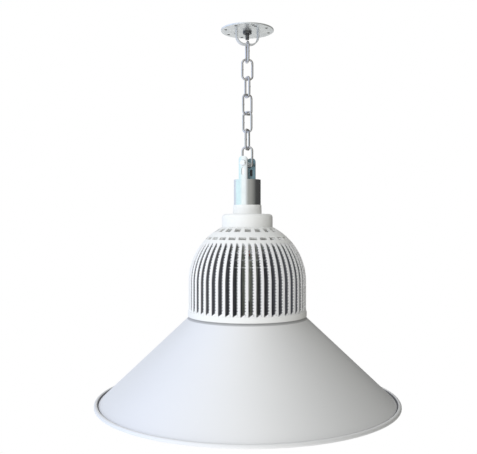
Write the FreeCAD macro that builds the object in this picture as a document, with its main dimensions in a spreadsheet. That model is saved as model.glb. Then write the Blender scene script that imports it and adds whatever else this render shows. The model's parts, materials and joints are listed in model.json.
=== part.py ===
"""High bay light hung from a ceiling plate by a welded chain, as a parametric document.

The origin is the centre of the ceiling plate's top face, +Z points up and the light hangs below.
All lengths are millimetres and all angles degrees. Each piece is modelled from its own datum,
and its Placement carries it to its height under the ceiling.
"""
import FreeCAD, Part
import math
import os
import re
import Sketcher

CHAIN_TURNS = {1: 102, 2: 12, 3: 112, 4: 36, 5: -39, 6: 70, 7: -20}

SIZES = {
    # ceiling plate, with a ring of screw holes and two spare holes
    "plate_radius": 36, "plate_thick": 2, "plate_edge": 0.5,
    "screw_count": 8, "screw_circle": 30, "screw_hole": 2, "screw_turn": 14,
    "spare_near_reach": 26, "spare_near_turn": -66, "spare_far_reach": 19, "spare_far_turn": 145,
    # countersunk stud through the middle of the plate, with its nut
    "stud_radius": 2.5, "stud_length": 13.5, "stud_head": 4.6, "stud_head_thick": 1.5,
    "stud_play": 0.2, "stud_nut_radius": 6, "stud_nut_thick": 3.8,
    # strap bent to a U and welded under the plate
    "strap_span": 32, "strap_drop": 18.9, "strap_thick": 1.6, "strap_bend": 12,
    "strap_side_play": 1.5, "strap_hook_play": 0.25, "strap_turn": 15,
    # welded chain of round wire
    "wire_size": 3, "link_opening": 24, "link_width": 17, "link_corner": 5, "link_gap": 0.15,
    # tube bracket with two ears, and the bolt that the last link hangs on
    "bracket_radius": 18.3, "bracket_wall": 1.5, "bracket_turn": -20,
    "ear_width": 12.5, "ear_rise": 9.2, "ear_round": 5, "shoulder_drop": 21.7,
    "bracket_bare": 34.4, "bracket_stop": 2,
    "ear_slot_width": 3.8, "ear_slot_height": 10, "ear_slot_drop": 11.2,
    "bolt_radius": 2.5, "bolt_play": 0.2, "bolt_head": 4.6, "bolt_head_thick": 2.4,
    "bolt_seat_gap": 0.1, "bolt_tail": 2, "bolt_nut_radius": 4.6, "bolt_nut_thick": 4,
    # small neck collar and large cap collar
    "neck_radius": 19.4, "neck_height": 12.3, "neck_flare": 0.4, "tube_play": 0.15,
    "collar_radius": 34.5, "collar_height": 17.8, "collar_round": 4.5,
    "collar_wall": 3, "collar_roof": 4, "boss_blend": 0.4,
    "cap_screw_count": 3, "cap_screw_radius": 1.7, "cap_screw_bite": 12,
    "cap_screw_head": 3.2, "cap_screw_head_thick": 2.2,
    # dome arc that the cap and the fins share, then the straight barrel
    "body_radius": 79.8, "dome_radius": 82, "dome_lip": 0.25, "barrel_height": 39.6,
    # slotted vent cap
    "cap_wall": 2.5, "cap_drop": 20.9, "cap_roof": 2.5, "cap_hole": 24, "cap_rim": 2.5,
    "cap_rim_inset": 5.5,
    "upper_slots": 20, "upper_slot_rise": 57.6, "upper_slot_span": 6, "upper_slot_width": 8,
    "upper_slot_turn": 18,
    "lower_slots": 25, "lower_slot_rise": 45.5, "lower_slot_span": 3.6, "lower_slot_width": 10,
    "lower_slot_turn": 3.6,
    # driver can under the cap
    "lid_thick": 1.5, "lid_rim": 8, "lid_rim_wall": 1.6,
    "can_clearance": 0.5, "can_play": 0.15, "can_wall": 1.5, "can_depth": 28.5,
    "can_ledge": 1.7, "can_top_gap": 0.3,
    "board_thick": 1.6, "board_play": 0.1,
    "can_screw_count": 3, "can_screw_radius": 1.25, "can_screw_drop": 5,
    "can_screw_head": 2.4, "can_screw_head_thick": 1.2, "can_screw_bite": 3,
    "grommet_hole": 5, "grommet_bore": 3.5, "grommet_lip": 7, "grommet_lip_thick": 1,
    "coil_length": 26, "coil_width": 18, "coil_height": 14, "coil_offset": 10,
    "capacitor_radius": 5, "capacitor_height": 15, "capacitor_reach": 16, "capacitor_offset": 10,
    # leads from the driver down through the core
    "lead_radius": 0.8, "lead_play": 0.25, "lead_side": 2.5, "lead_front": 9,
    "lead_exit": 4, "lead_bend": 8, "lead_jog": 3,
    # heat sink: core, fins with broad outer edges, top band and tie rings
    "core_radius": 28, "core_bore": 12, "core_drop": 22, "spigot_radius": 24,
    "notch_width": 16, "notch_depth": 8,
    "rod_count": 5, "fins_per_rod": 10, "fin_turn": 2.8, "fin_thick": 1.4, "fin_root": 1,
    "fin_edge_width": 3.6, "fin_edge_thick": 1.8, "fin_shoulder_reach": 39.5,
    "fin_shoulder_drop": 13, "band_inset": 6.5, "band_outset": 4, "band_thick": 3,
    "tie_section": 1, "tie_upper_drop": 11.5, "tie_step": 9.3, "tie_spread": 2, "tie_inset": 17.8,
    "rod_inset": 5, "rod_radius": 2, "rod_play": 0.15, "rod_head": 3.5, "rod_head_thick": 2.2,
    "rod_short": 0.3,
    # base casting
    "base_step": 0.9, "base_height": 7.5, "base_round": 1.2, "floor_thick": 3,
    "spigot_play": 0.2, "ledge_width": 6.5, "ledge_drop": 5.5, "pocket_inset": 6,
    # LED board, its chips and screws
    "led_board_radius": 50, "led_board_thick": 1.6, "led_board_hole": 5,
    "chip_width": 5, "chip_thick": 0.8, "inner_chips": 12, "inner_chip_reach": 30,
    "outer_chips": 18, "outer_chip_reach": 42,
    "board_screw_count": 4, "board_screw_turn": 45, "board_screw_circle": 18,
    "board_screw_radius": 1.5,
    "board_screw_bite": 6, "board_screw_head": 2.8, "board_screw_head_thick": 1.4,
    "thread_play": 0.05, "screw_play": 0.2,
    # cover glass, its gasket and the ring that clamps glass and reflector
    "gasket_thick": 1, "gasket_inset": 0.7, "pocket_play": 0.7, "lens_thick": 3, "lens_edge": 0.5,
    "ring_lip": 5.3, "ring_inset": 0.9, "ring_height": 2.5, "ring_edge": 0.6, "lens_play": 0.3,
    "clamp_count": 6, "clamp_inset": 4.3, "clamp_radius": 2, "clamp_bite": 5.5,
    "clamp_head": 3.6, "clamp_head_thick": 2.4,
    # spun cone reflector with a rolled rim
    "sheet_thick": 1.2, "flange_lap": 0.5, "flange_inset": 3.5, "flange_bend": 2,
    "cone_slope": 43.1, "cone_radius": 199.6, "rim_roll": 2.7, "rim_skirt": 1.6,
    # how far a cutting outline runs past the material
    "cut_margin": 1,
}
for link_number, link_turn in CHAIN_TURNS.items():
    SIZES[f"link_turn_{link_number}"] = link_turn

doc = FreeCAD.newDocument("high_bay_light")
sheet = doc.addObject("Spreadsheet::Sheet", "sizes")
for row, (alias, number) in enumerate(SIZES.items(), start=1):
    sheet.set(f"A{row}", alias)
    sheet.set(f"B{row}", str(number))
    sheet.setAlias(f"B{row}", alias)
doc.recompute()

bodies = []


# ---------------------------------------------------------------- helpers

def bound(expression):
    """The expression with each size name pointed at its cell."""
    def cell(word):
        return "sizes." + word[0] if word[0] in SIZES else word[0]
    return re.sub(r"[a-z]\w*", cell, str(expression))


def number_of(expression):
    """The number that an expression of size names has now."""
    return float(sheet.evalExpression(bound(expression)))


def new_body(name, height="0", turn="0", side="0", front="0"):
    """An empty body whose datum hangs at a height, turned about Z."""
    body = doc.addObject("PartDesign::Body", name)
    body.Label = name
    body.AllowCompound = True
    body.setExpression("Placement.Base.x", bound(side))
    body.setExpression("Placement.Base.y", bound(front))
    body.setExpression("Placement.Base.z", bound(height))
    body.setExpression("Placement.Rotation.Angle", bound(turn))
    bodies.append(body)
    return body


def origin_part(body, role):
    """One of the body's own origin planes or axes."""
    return next(item for item in body.Origin.OriginFeatures if item.Role == role)


def new_sketch(body, name, plane="XZ_Plane", offset="0"):
    """An empty sketch on an origin plane, moved along the plane's normal by the offset."""
    sketch = body.newObject("Sketcher::SketchObject", f"{body.Name}_{name}")
    sketch.AttachmentSupport = [(origin_part(body, plane), "")]
    sketch.MapMode = "FlatFace"
    sketch.setExpression("AttachmentOffset.Base.z", bound(offset))
    return sketch


def bind(sketch, kind, *target, to):
    """Add a driving constraint and bind it to the sheet."""
    index = sketch.addConstraint(Sketcher.Constraint(kind, *target, number_of(to)))
    sketch.setExpression(f"Constraints[{index}]", bound(to))


def arc_between(start, end, radius, way):
    """The short arc from start to end that turns ccw or cw."""
    chord = end - start
    middle = (start + end) / 2
    rise = math.sqrt(max(radius ** 2 - (chord.Length / 2) ** 2, 0))
    normal = FreeCAD.Vector(-chord.y, chord.x, 0).normalize()
    centre = middle + normal * rise if way == "ccw" else middle - normal * rise
    first, last = (start, end) if way == "ccw" else (end, start)
    angles = [math.atan2(point.y - centre.y, point.x - centre.x) for point in (first, last)]
    if angles[1] < angles[0]:
        angles[1] += 2 * math.pi
    circle = Part.Circle(centre, FreeCAD.Vector(0, 0, 1), radius)
    return Part.ArcOfCircle(circle, *angles)


def outline(sketch, corners, closed=True):
    """Draw through corners (x, y), or (x, y, radius, way) where an arc leads to the next one."""
    points = [FreeCAD.Vector(number_of(corner[0]), number_of(corner[1]), 0) for corner in corners]
    count = len(corners) if closed else len(corners) - 1
    base = sketch.GeometryCount
    ends = []
    for index in range(count):
        corner = corners[index]
        start, end = points[index], points[(index + 1) % len(points)]
        if len(corner) == 2:
            sketch.addGeometry(Part.LineSegment(start, end))
        else:
            sketch.addGeometry(arc_between(start, end, number_of(corner[2]), corner[3]))
        ends.append((2, 1) if corner[-1] == "cw" else (1, 2))
    for index in range(count):
        here = base + index
        bind(sketch, "DistanceX", -1, 1, here, ends[index][0], to=corners[index][0])
        bind(sketch, "DistanceY", -1, 1, here, ends[index][0], to=corners[index][1])
        if index + 1 < count or closed:
            after = (index + 1) % count
            pair = (here, ends[index][1], base + after, ends[after][0])
            sketch.addConstraint(Sketcher.Constraint("Coincident", *pair))
        if len(corners[index]) == 4:
            bind(sketch, "Radius", here, to=corners[index][2])
    if not closed:
        bind(sketch, "DistanceX", -1, 1, base + count - 1, ends[-1][1], to=corners[-1][0])
        bind(sketch, "DistanceY", -1, 1, base + count - 1, ends[-1][1], to=corners[-1][1])


def rectangle(sketch, left, right, bottom, top):
    """Draw an upright rectangle."""
    outline(sketch, [(left, bottom), (right, bottom), (right, top), (left, top)])


def circle(sketch, x, y, radius):
    """Draw a circle with its centre at x, y."""
    centre = FreeCAD.Vector(number_of(x), number_of(y), 0)
    shape = Part.Circle(centre, FreeCAD.Vector(0, 0, 1), number_of(radius))
    index = sketch.addGeometry(shape)
    bind(sketch, "DistanceX", -1, 1, index, 3, to=x)
    bind(sketch, "DistanceY", -1, 1, index, 3, to=y)
    bind(sketch, "Radius", index, to=radius)


def spot(reach, turn):
    """Centre of a round feature at a distance and angle from the axis."""
    return f"({reach}) * cos({turn})", f"({reach}) * sin({turn})"


def feature(kind, body, name, sketch):
    """A sketch-based feature of the body."""
    item = body.newObject(f"PartDesign::{kind}", f"{body.Name}_{name}")
    item.Profile = sketch
    return item


def pad(body, name, sketch, length, symmetric=False, back=False):
    """Extrude the sketch along its normal, both ways or backwards."""
    item = feature("Pad", body, name, sketch)
    item.setExpression("Length", bound(length))
    item.SideType = "Symmetric" if symmetric else "One side"
    item.Reversed = back
    return item


def pocket(body, name, sketch, length=None, symmetric=False, back=False):
    """Cut the sketch against its normal by a length, or right through."""
    item = feature("Pocket", body, name, sketch)
    if length is None:
        item.Type = "ThroughAll"
    else:
        item.setExpression("Length", bound(length))
    item.SideType = "Symmetric" if symmetric else "One side"
    item.Reversed = back
    return item


def revolve(body, name, sketch, kind="Revolution"):
    """Turn the sketch a full circle about its own vertical axis."""
    item = feature(kind, body, name, sketch)
    item.ReferenceAxis = (sketch, ["V_Axis"])
    item.Angle = 360
    return item


def ring_of(body, name, originals, count):
    """Repeat features round the body's Z axis."""
    item = body.newObject("PartDesign::PolarPattern", f"{body.Name}_{name}")
    item.Originals = originals
    item.Axis = (origin_part(body, "Z_Axis"), [""])
    item.Angle = 360
    item.setExpression("Occurrences", bound(count))
    body.Tip = item
    return item


def turned(name, corners, height="0", turn="0"):
    """A body revolved from one closed outline of radius and height."""
    body = new_body(name, height, turn)
    sketch = new_sketch(body, "section")
    outline(sketch, corners)
    revolve(body, "turned", sketch)
    return body


def drill(body, name, reach, turn, radius, count="1", level="0", depth=None, back=False):
    """Holes along Z at one distance from the axis, from a level down, or up if back."""
    sketch = new_sketch(body, f"{name}_spot", "XY_Plane", level)
    circle(sketch, *spot(reach, turn), radius)
    cut = pocket(body, name, sketch, depth, back=back)
    return ring_of(body, f"{name}_ring", [cut], count) if count != "1" else cut


def screws(name, height, circle_radius, turn, count, head, shank, up=True):
    """A ring of screws whose heads hang under the datum, with shanks up through it."""
    body = new_body(name, height)
    head_sketch = new_sketch(body, "head_spot", "XY_Plane")
    circle(head_sketch, *spot(circle_radius, turn), head[0])
    head_pad = pad(body, "head", head_sketch, head[1], back=up)
    shank_sketch = new_sketch(body, "shank_spot", "XY_Plane")
    circle(shank_sketch, *spot(circle_radius, turn), shank[0])
    shank_pad = pad(body, "shank", shank_sketch, shank[1], back=not up)
    ring_of(body, "ring", [head_pad, shank_pad], count)
    return body


def hexagon(sketch, radius):
    """Draw a hexagon round the sketch's origin, with its corners at the radius."""
    outline(sketch, [spot(radius, 60 * corner) for corner in range(6)])


# ---------------------------------------------------------------- heights under the ceiling

STRAP_WIDTH = "(link_width - 2 * wire_size - 2 * strap_side_play)"
STRAP_SEAT = "(strap_thick - plate_thick - strap_drop)"
CORNER_INNER = "(link_corner - wire_size / 2)"
HOOK_BITE = f"({CORNER_INNER} - strap_side_play + strap_hook_play)"
HOOK_RISE = f"({CORNER_INNER} - sqrt({CORNER_INNER}^2 - {HOOK_BITE}^2))"
CHAIN_TOP = f"({STRAP_SEAT} + {HOOK_RISE} + wire_size / 2)"
LINK_PITCH = "(link_opening - link_gap)"
LINK_LENGTH = "(link_opening + wire_size)"
LAST_CROWN = f"({CHAIN_TOP} - {len(CHAIN_TURNS) - 1} * {LINK_PITCH} - {LINK_LENGTH})"
BOLT = f"({LAST_CROWN} + wire_size / 2 + link_gap + bolt_radius)"
NECK_TOP = f"({BOLT} - shoulder_drop - bracket_bare)"
COLLAR_TOP = f"({NECK_TOP} - neck_height)"
CAP_TOP = f"({COLLAR_TOP} - collar_height)"
LID_TOP = f"({CAP_TOP} - cap_roof)"
FIN_TOP = f"({CAP_TOP} - cap_drop)"
DOME_DROP = "(sqrt(dome_radius^2 - (dome_radius - body_radius + collar_radius + dome_lip)^2))"
FIN_HEIGHT = f"({DOME_DROP} + barrel_height - cap_drop)"
BASE_TOP = f"({FIN_TOP} - {FIN_HEIGHT})"
LED_BOARD_TOP = f"({BASE_TOP} - floor_thick)"
FLANGE_TOP = f"({BASE_TOP} - base_height)"
TUBE_BORE = "(bracket_radius + tube_play)"
BOARD_TOP = f"({LID_TOP} - lid_rim)"
FINS = "rod_count * fins_per_rod"
BASE_RADIUS = "(body_radius + base_step)"
FLANGE_OUTER = f"({BASE_RADIUS} - flange_inset)"
RING_OUTER = f"({FLANGE_OUTER} - ring_inset)"
CLAMP_CIRCLE = f"({RING_OUTER} - clamp_inset)"
POCKET_RADIUS = f"({CLAMP_CIRCLE} - pocket_inset)"
LEDGE_REACH = f"({POCKET_RADIUS} - ledge_width)"
ROD_CIRCLE = f"({LEDGE_REACH} - rod_inset)"
CAP_RIM_REACH = f"({ROD_CIRCLE} - cap_rim_inset)"
BAND_REACH = f"({ROD_CIRCLE} - band_inset)"
LENS_RADIUS = f"({POCKET_RADIUS} - pocket_play)"
RING_INNER = f"({LENS_RADIUS} - ring_lip)"
ROD_TURN = f"(fin_turn + 180 / ({FINS}))"


def dome_at(depth, inset="0"):
    """Radius of the dome arc at a depth under the cap's top, on a surface inset from it."""
    rise = f"({DOME_DROP} - {depth})"
    return f"(body_radius - dome_radius + sqrt((dome_radius - {inset})^2 - {rise}^2))"


LID_RADIUS = f"({dome_at('cap_roof', 'cap_wall')} - can_wall - can_play - can_clearance)"
CAN_BORE = f"({LID_RADIUS} + can_play)"
SLEEVE = f"({TUBE_BORE} + collar_wall)"
SKIRT = "(collar_radius - collar_wall)"
CAP_SCREW_CIRCLE = f"(({SLEEVE} + {SKIRT}) / 2)"


# ---------------------------------------------------------------- ceiling plate

def make_ceiling_plate():
    """Round plate with a chamfered lower edge, a countersunk middle and its screw holes."""
    bore = "(stud_radius + stud_play)"
    sink = "(stud_head + stud_play)"
    body = turned("ceiling_plate", [
        (sink, "0"), ("plate_radius", "0"), ("plate_radius", "plate_edge - plate_thick"),
        ("plate_radius - plate_edge", "-plate_thick"), (bore, "-plate_thick"),
        (bore, "-stud_head_thick")])
    drill(body, "screw", "screw_circle", "screw_turn", "screw_hole", "screw_count")
    drill(body, "spare_near", "spare_near_reach", "spare_near_turn", "screw_hole")
    drill(body, "spare_far", "spare_far_reach", "spare_far_turn", "screw_hole")


def make_centre_stud():
    """Countersunk stud, flush with the plate's top."""
    turned("centre_stud", [
        ("0", "0"), ("stud_head", "0"), ("stud_radius", "-stud_head_thick"),
        ("stud_radius", "-stud_length"), ("0", "-stud_length")])


def make_stud_nut():
    """Hexagon nut on the stud, against the plate."""
    body = new_body("stud_nut", "-plate_thick")
    sketch = new_sketch(body, "hexagon", "XY_Plane")
    hexagon(sketch, "stud_nut_radius")
    circle(sketch, "0", "0", "stud_radius + thread_play")
    pad(body, "block", sketch, "stud_nut_thick", back=True)


def make_plate_strap():
    """Flat strap bent to a U, with its ends against the plate."""
    body = new_body("plate_strap", "-plate_thick", "strap_turn")
    half = "strap_span / 2"
    inner = "(strap_span / 2 - strap_thick)"
    flat = "(strap_span / 2 - strap_bend)"
    bend_top = "strap_bend - strap_drop"
    inner_bend = "strap_bend - strap_thick"
    sketch = new_sketch(body, "bend")
    outline(sketch, [
        (f"-{half}", "0"), (f"-{half}", bend_top, "strap_bend", "ccw"),
        (f"-{flat}", "-strap_drop"), (flat, "-strap_drop", "strap_bend", "ccw"),
        (half, bend_top), (half, "0"),
        (inner, "0"), (inner, bend_top, inner_bend, "cw"),
        (flat, "strap_thick - strap_drop"), (f"-{flat}", "strap_thick - strap_drop", inner_bend, "cw"),
        (f"-{inner}", bend_top), (f"-{inner}", "0")])
    pad(body, "strip", sketch, STRAP_WIDTH, symmetric=True)


# ---------------------------------------------------------------- chain

def make_chain_link(number):
    """Round wire swept along a rounded rectangle, hanging from its own top crown."""
    body = new_body(f"chain_link_{number}", f"{CHAIN_TOP} - {number - 1} * {LINK_PITCH}",
                    f"link_turn_{number}")
    side = "((link_width - wire_size) / 2)"
    crown = f"({side} - link_corner)"
    lower = f"(link_corner - {LINK_LENGTH})"
    path = new_sketch(body, "path")
    outline(path, [
        ("0", "0"), (crown, "0", "link_corner", "cw"),
        (side, "-link_corner"), (side, lower, "link_corner", "cw"),
        (crown, f"-{LINK_LENGTH}"), (f"-{crown}", f"-{LINK_LENGTH}", "link_corner", "cw"),
        (f"-{side}", lower), (f"-{side}", "-link_corner", "link_corner", "cw"),
        (f"-{crown}", "0")])
    section = new_sketch(body, "wire", "YZ_Plane")
    circle(section, "0", "0", "wire_size / 2")
    pipe = feature("AdditivePipe", body, "bent_wire", section)
    pipe.Spine = (path, [])


# ---------------------------------------------------------------- bracket

def make_hanger_bracket():
    """Tube whose upper end is cut away to two ears, each with a bolt hole and a slot."""
    low = "-(shoulder_drop + bracket_bare + neck_height + collar_height - bracket_stop)"
    bore = "(bracket_radius - bracket_wall)"
    body = turned("hanger_bracket", [
        (bore, "ear_rise"), (bore, low), ("bracket_radius", low), ("bracket_radius", "ear_rise")],
        BOLT, "bracket_turn")
    ear = "(ear_width / 2)"
    tip = f"({ear} - ear_round)"
    past = "(bracket_radius + cut_margin)"
    sides = new_sketch(body, "ear_sides")
    outline(sides, [
        (f"-{past}", "-shoulder_drop"), (f"-{ear}", "-shoulder_drop"),
        (f"-{ear}", "ear_rise - ear_round", "ear_round", "cw"), (f"-{tip}", "ear_rise"),
        (tip, "ear_rise", "ear_round", "cw"), (ear, "ear_rise - ear_round"),
        (ear, "-shoulder_drop"), (past, "-shoulder_drop"),
        (past, "ear_rise + cut_margin"), (f"-{past}", "ear_rise + cut_margin")])
    pocket(body, "ears", sides, symmetric=True)
    hole = new_sketch(body, "bolt_spot")
    circle(hole, "0", "0", "bolt_radius + bolt_play")
    pocket(body, "bolt_hole", hole, symmetric=True)
    slot_side = "(ear_slot_width / 2)"
    slot_top = "(ear_slot_height / 2 - ear_slot_width / 2 - ear_slot_drop)"
    slot_low = "(ear_slot_width / 2 - ear_slot_height / 2 - ear_slot_drop)"
    slot = new_sketch(body, "slot_shape")
    outline(slot, [
        (slot_side, slot_low), (slot_side, slot_top, slot_side, "ccw"),
        ("0", f"{slot_top} + {slot_side}", slot_side, "ccw"), (f"-{slot_side}", slot_top),
        (f"-{slot_side}", slot_low, slot_side, "ccw"),
        ("0", f"{slot_low} - {slot_side}", slot_side, "ccw")])
    pocket(body, "slot", slot, symmetric=True)


def make_hanger_bolt():
    """Cross bolt with a low round head, revolved about its own length."""
    seat = "(bracket_radius + bolt_seat_gap)"
    tail = f"({seat} + bolt_nut_thick + bolt_tail)"
    top = f"-({seat} + bolt_head_thick)"
    body = new_body("hanger_bolt", BOLT, "bracket_turn")
    sketch = new_sketch(body, "section", "XY_Plane")
    outline(sketch, [
        ("0", top), ("bolt_radius", top, "bolt_head_thick", "ccw"), ("bolt_head", f"-{seat}"),
        ("bolt_radius", f"-{seat}"), ("bolt_radius", tail), ("0", tail)])
    revolve(body, "turned", sketch)


def make_hanger_nut():
    """Hexagon nut on the bolt, against the far ear."""
    body = new_body("hanger_nut", BOLT, "bracket_turn")
    sketch = new_sketch(body, "hexagon", offset="-(bracket_radius + bolt_seat_gap)")
    hexagon(sketch, "bolt_nut_radius")
    circle(sketch, "0", "0", "bolt_radius + thread_play")
    pad(body, "block", sketch, "bolt_nut_thick", back=True)


# ---------------------------------------------------------------- collars and cap

def make_neck_collar():
    """Small collar round the tube, slightly wider at its foot."""
    turned("neck_collar", [
        (TUBE_BORE, "0"), (TUBE_BORE, "-neck_height"),
        ("neck_radius + neck_flare / 2", "-neck_height"), ("neck_radius - neck_flare / 2", "0")],
        NECK_TOP)


def make_cap_collar():
    """Hollow collar with a rounded shoulder, a sleeve for the tube and three screw bosses."""
    body = turned("cap_collar", [
        (TUBE_BORE, "0"), (TUBE_BORE, "-collar_height"), (SLEEVE, "-collar_height"),
        (SLEEVE, "-collar_roof"), (SKIRT, "-collar_roof"), (SKIRT, "-collar_height"),
        ("collar_radius", "-collar_height"), ("collar_radius", "-collar_round", "collar_round", "ccw"),
        ("collar_radius - collar_round", "0")], COLLAR_TOP)
    sketch = new_sketch(body, "boss_spot", "XY_Plane", "-collar_height")
    circle(sketch, *spot(CAP_SCREW_CIRCLE, "0"), f"({SKIRT} - {SLEEVE}) / 2 + boss_blend")
    boss = pad(body, "boss", sketch, "collar_height - collar_roof / 2")
    ring_of(body, "bosses", [boss], "cap_screw_count")
    drill(body, "screw", CAP_SCREW_CIRCLE, "0", "cap_screw_radius + thread_play",
          "cap_screw_count", "-collar_height", "cap_screw_bite + cut_margin", back=True)


def make_vent_cap():
    """Dome shell with a flat roof, an inward rim and two rows of vent slots."""
    body = turned("vent_cap", [
        ("cap_hole", "0"), ("cap_hole", "-cap_roof"), (dome_at("cap_roof", "cap_wall"), "-cap_roof",
         "dome_radius - cap_wall", "cw"),
        (dome_at("(cap_drop - cap_rim)", "cap_wall"), "cap_rim - cap_drop"),
        (CAP_RIM_REACH, "cap_rim - cap_drop"), (CAP_RIM_REACH, "-cap_drop"),
        (dome_at("cap_drop"), "-cap_drop", "dome_radius", "ccw"), (dome_at("0"), "0")], CAP_TOP)
    for row in ("upper", "lower"):
        make_vent_row(body, row)
    drill(body, "screw", CAP_SCREW_CIRCLE, "0", "cap_screw_radius + screw_play", "cap_screw_count")
    drill(body, "rod", ROD_CIRCLE, ROD_TURN, "rod_radius + thread_play", "rod_count",
          "cap_rim / 2 - cap_drop", "cap_rim", back=False)


def make_vent_row(body, row):
    """One row of slots cut square to the dome's surface."""
    outer = "(dome_radius + cut_margin)"
    inner = "(dome_radius - cap_wall - cut_margin)"
    top = f"({row}_slot_rise + {row}_slot_span / 2)"
    low = f"({row}_slot_rise - {row}_slot_span / 2)"
    corners = [(outer, low), (outer, top), (inner, top), (inner, low)]
    sketch = new_sketch(body, f"{row}_slot_shape")
    turn = FreeCAD.Rotation(FreeCAD.Vector(0, 1, 0), number_of(f"{row}_slot_turn"))
    sketch.AttachmentOffset = FreeCAD.Placement(FreeCAD.Vector(), turn)
    sketch.setExpression("AttachmentOffset.Rotation.Angle", bound(f"{row}_slot_turn"))
    outline(sketch, [(f"body_radius - dome_radius + {radius} * cos({angle})",
                      f"{radius} * sin({angle}) - {DOME_DROP}") for radius, angle in corners])
    cut = pocket(body, f"{row}_slot", sketch, f"{row}_slot_width", symmetric=True)
    ring_of(body, f"{row}_slots_cut", [cut], f"{row}_slots")


# ---------------------------------------------------------------- driver can

def side_holes(body, radius):
    """Radial holes for the can's screws."""
    sketch = new_sketch(body, "side_spot", "YZ_Plane")
    circle(sketch, "0", "-can_screw_drop", radius)
    cut = pocket(body, "side_hole", sketch, back=True)
    ring_of(body, "side_holes", [cut], "can_screw_count")


def make_driver_lid():
    """Shallow lid screwed up against the cap's roof."""
    rim = f"({LID_RADIUS} - lid_rim_wall)"
    body = turned("driver_lid", [
        ("grommet_hole", "0"), ("grommet_hole", "-lid_thick"), (rim, "-lid_thick"),
        (rim, "-lid_rim"), (LID_RADIUS, "-lid_rim"), (LID_RADIUS, "0")], LID_TOP)
    drill(body, "screw", CAP_SCREW_CIRCLE, "0", "cap_screw_radius + screw_play", "cap_screw_count")
    side_holes(body, "can_screw_radius + thread_play")


def make_cable_grommet():
    """Rubber grommet in the lid, where the supply enters."""
    waist = "(grommet_hole - can_play)"
    turned("cable_grommet", [
        ("grommet_bore", "0"), ("grommet_bore", "-(lid_thick + grommet_lip_thick)"),
        ("grommet_lip", "-(lid_thick + grommet_lip_thick)"), ("grommet_lip", "-lid_thick"),
        (waist, "-lid_thick"), (waist, "0")], LID_TOP)


def make_driver_case():
    """Cup with a ledge that carries the driver board against the lid's rim."""
    outer = f"({CAN_BORE} + can_wall)"
    ledge = "-(lid_rim + board_thick)"
    body = turned("driver_case", [
        (CAN_BORE, "-can_top_gap"), (CAN_BORE, ledge), (f"{CAN_BORE} - can_ledge", ledge),
        (f"{CAN_BORE} - can_ledge", "can_wall - can_depth"), ("0", "can_wall - can_depth"),
        ("0", "-can_depth"), (outer, "-can_depth"), (outer, "-can_top_gap")], LID_TOP)
    holes = new_sketch(body, "lead_spots", "XY_Plane")
    for side in ("lead_side", "-lead_side"):
        circle(holes, side, "-lead_front", "lead_radius + lead_play")
    pocket(body, "lead_holes", holes)
    side_holes(body, "can_screw_radius + screw_play")


def make_case_screws():
    """Radial screws through the cup into the lid's rim."""
    outer = f"({CAN_BORE} + can_wall)"
    body = new_body("case_screws", LID_TOP)
    head_sketch = new_sketch(body, "head_spot", "YZ_Plane", outer)
    circle(head_sketch, "0", "-can_screw_drop", "can_screw_head")
    head = pad(body, "head", head_sketch, "can_screw_head_thick")
    shank_sketch = new_sketch(body, "shank_spot", "YZ_Plane", outer)
    circle(shank_sketch, "0", "-can_screw_drop", "can_screw_radius")
    shank = pad(body, "shank", shank_sketch, "can_screw_bite + can_wall", back=True)
    ring_of(body, "ring", [head, shank], "can_screw_count")


def make_driver_board():
    """Round circuit board clamped between the lid's rim and the cup's ledge."""
    radius = f"({CAN_BORE} - board_play)"
    turned("driver_board", [("0", "0"), (radius, "0"), (radius, "-board_thick"), ("0", "-board_thick")],
           BOARD_TOP)


def make_driver_parts():
    """Transformer block and two capacitors under the board."""
    body = new_body("driver_parts", f"{BOARD_TOP} - board_thick")
    block = new_sketch(body, "coil_shape", "XY_Plane")
    rectangle(block, "-coil_length / 2", "coil_length / 2", "coil_offset - coil_width / 2",
              "coil_offset + coil_width / 2")
    pad(body, "coil", block, "coil_height", back=True)
    cans = new_sketch(body, "capacitor_spots", "XY_Plane")
    for side in ("capacitor_reach", "-capacitor_reach"):
        circle(cans, side, "-capacitor_offset", "capacitor_radius")
    pad(body, "capacitors", cans, "capacitor_height", back=True)


def make_lead(name, side, turn):
    """Insulated lead from the driver board down through the core to the LED board."""
    drop = f"({BOARD_TOP} - board_thick - {LED_BOARD_TOP})"
    straight = "(can_depth - lid_rim - board_thick + lead_exit)"
    swing = "(lead_bend * sqrt(1 - (1 - lead_jog / (2 * lead_bend))^2))"
    body = new_body(name, f"{BOARD_TOP} - board_thick", turn, side, "-lead_front")
    path = new_sketch(body, "path")
    outline(path, [
        ("0", "0"), ("0", f"-{straight}", "lead_bend", "ccw"),
        ("lead_jog / 2", f"-{straight} - {swing}", "lead_bend", "cw"),
        ("lead_jog", f"-{straight} - 2 * {swing}"), ("lead_jog", f"-{drop}")], closed=False)
    section = new_sketch(body, "wire", "XY_Plane")
    circle(section, "0", "0", "lead_radius")
    pipe = feature("AdditivePipe", body, "run", section)
    pipe.Spine = (path, [])


# ---------------------------------------------------------------- heat sink

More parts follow.
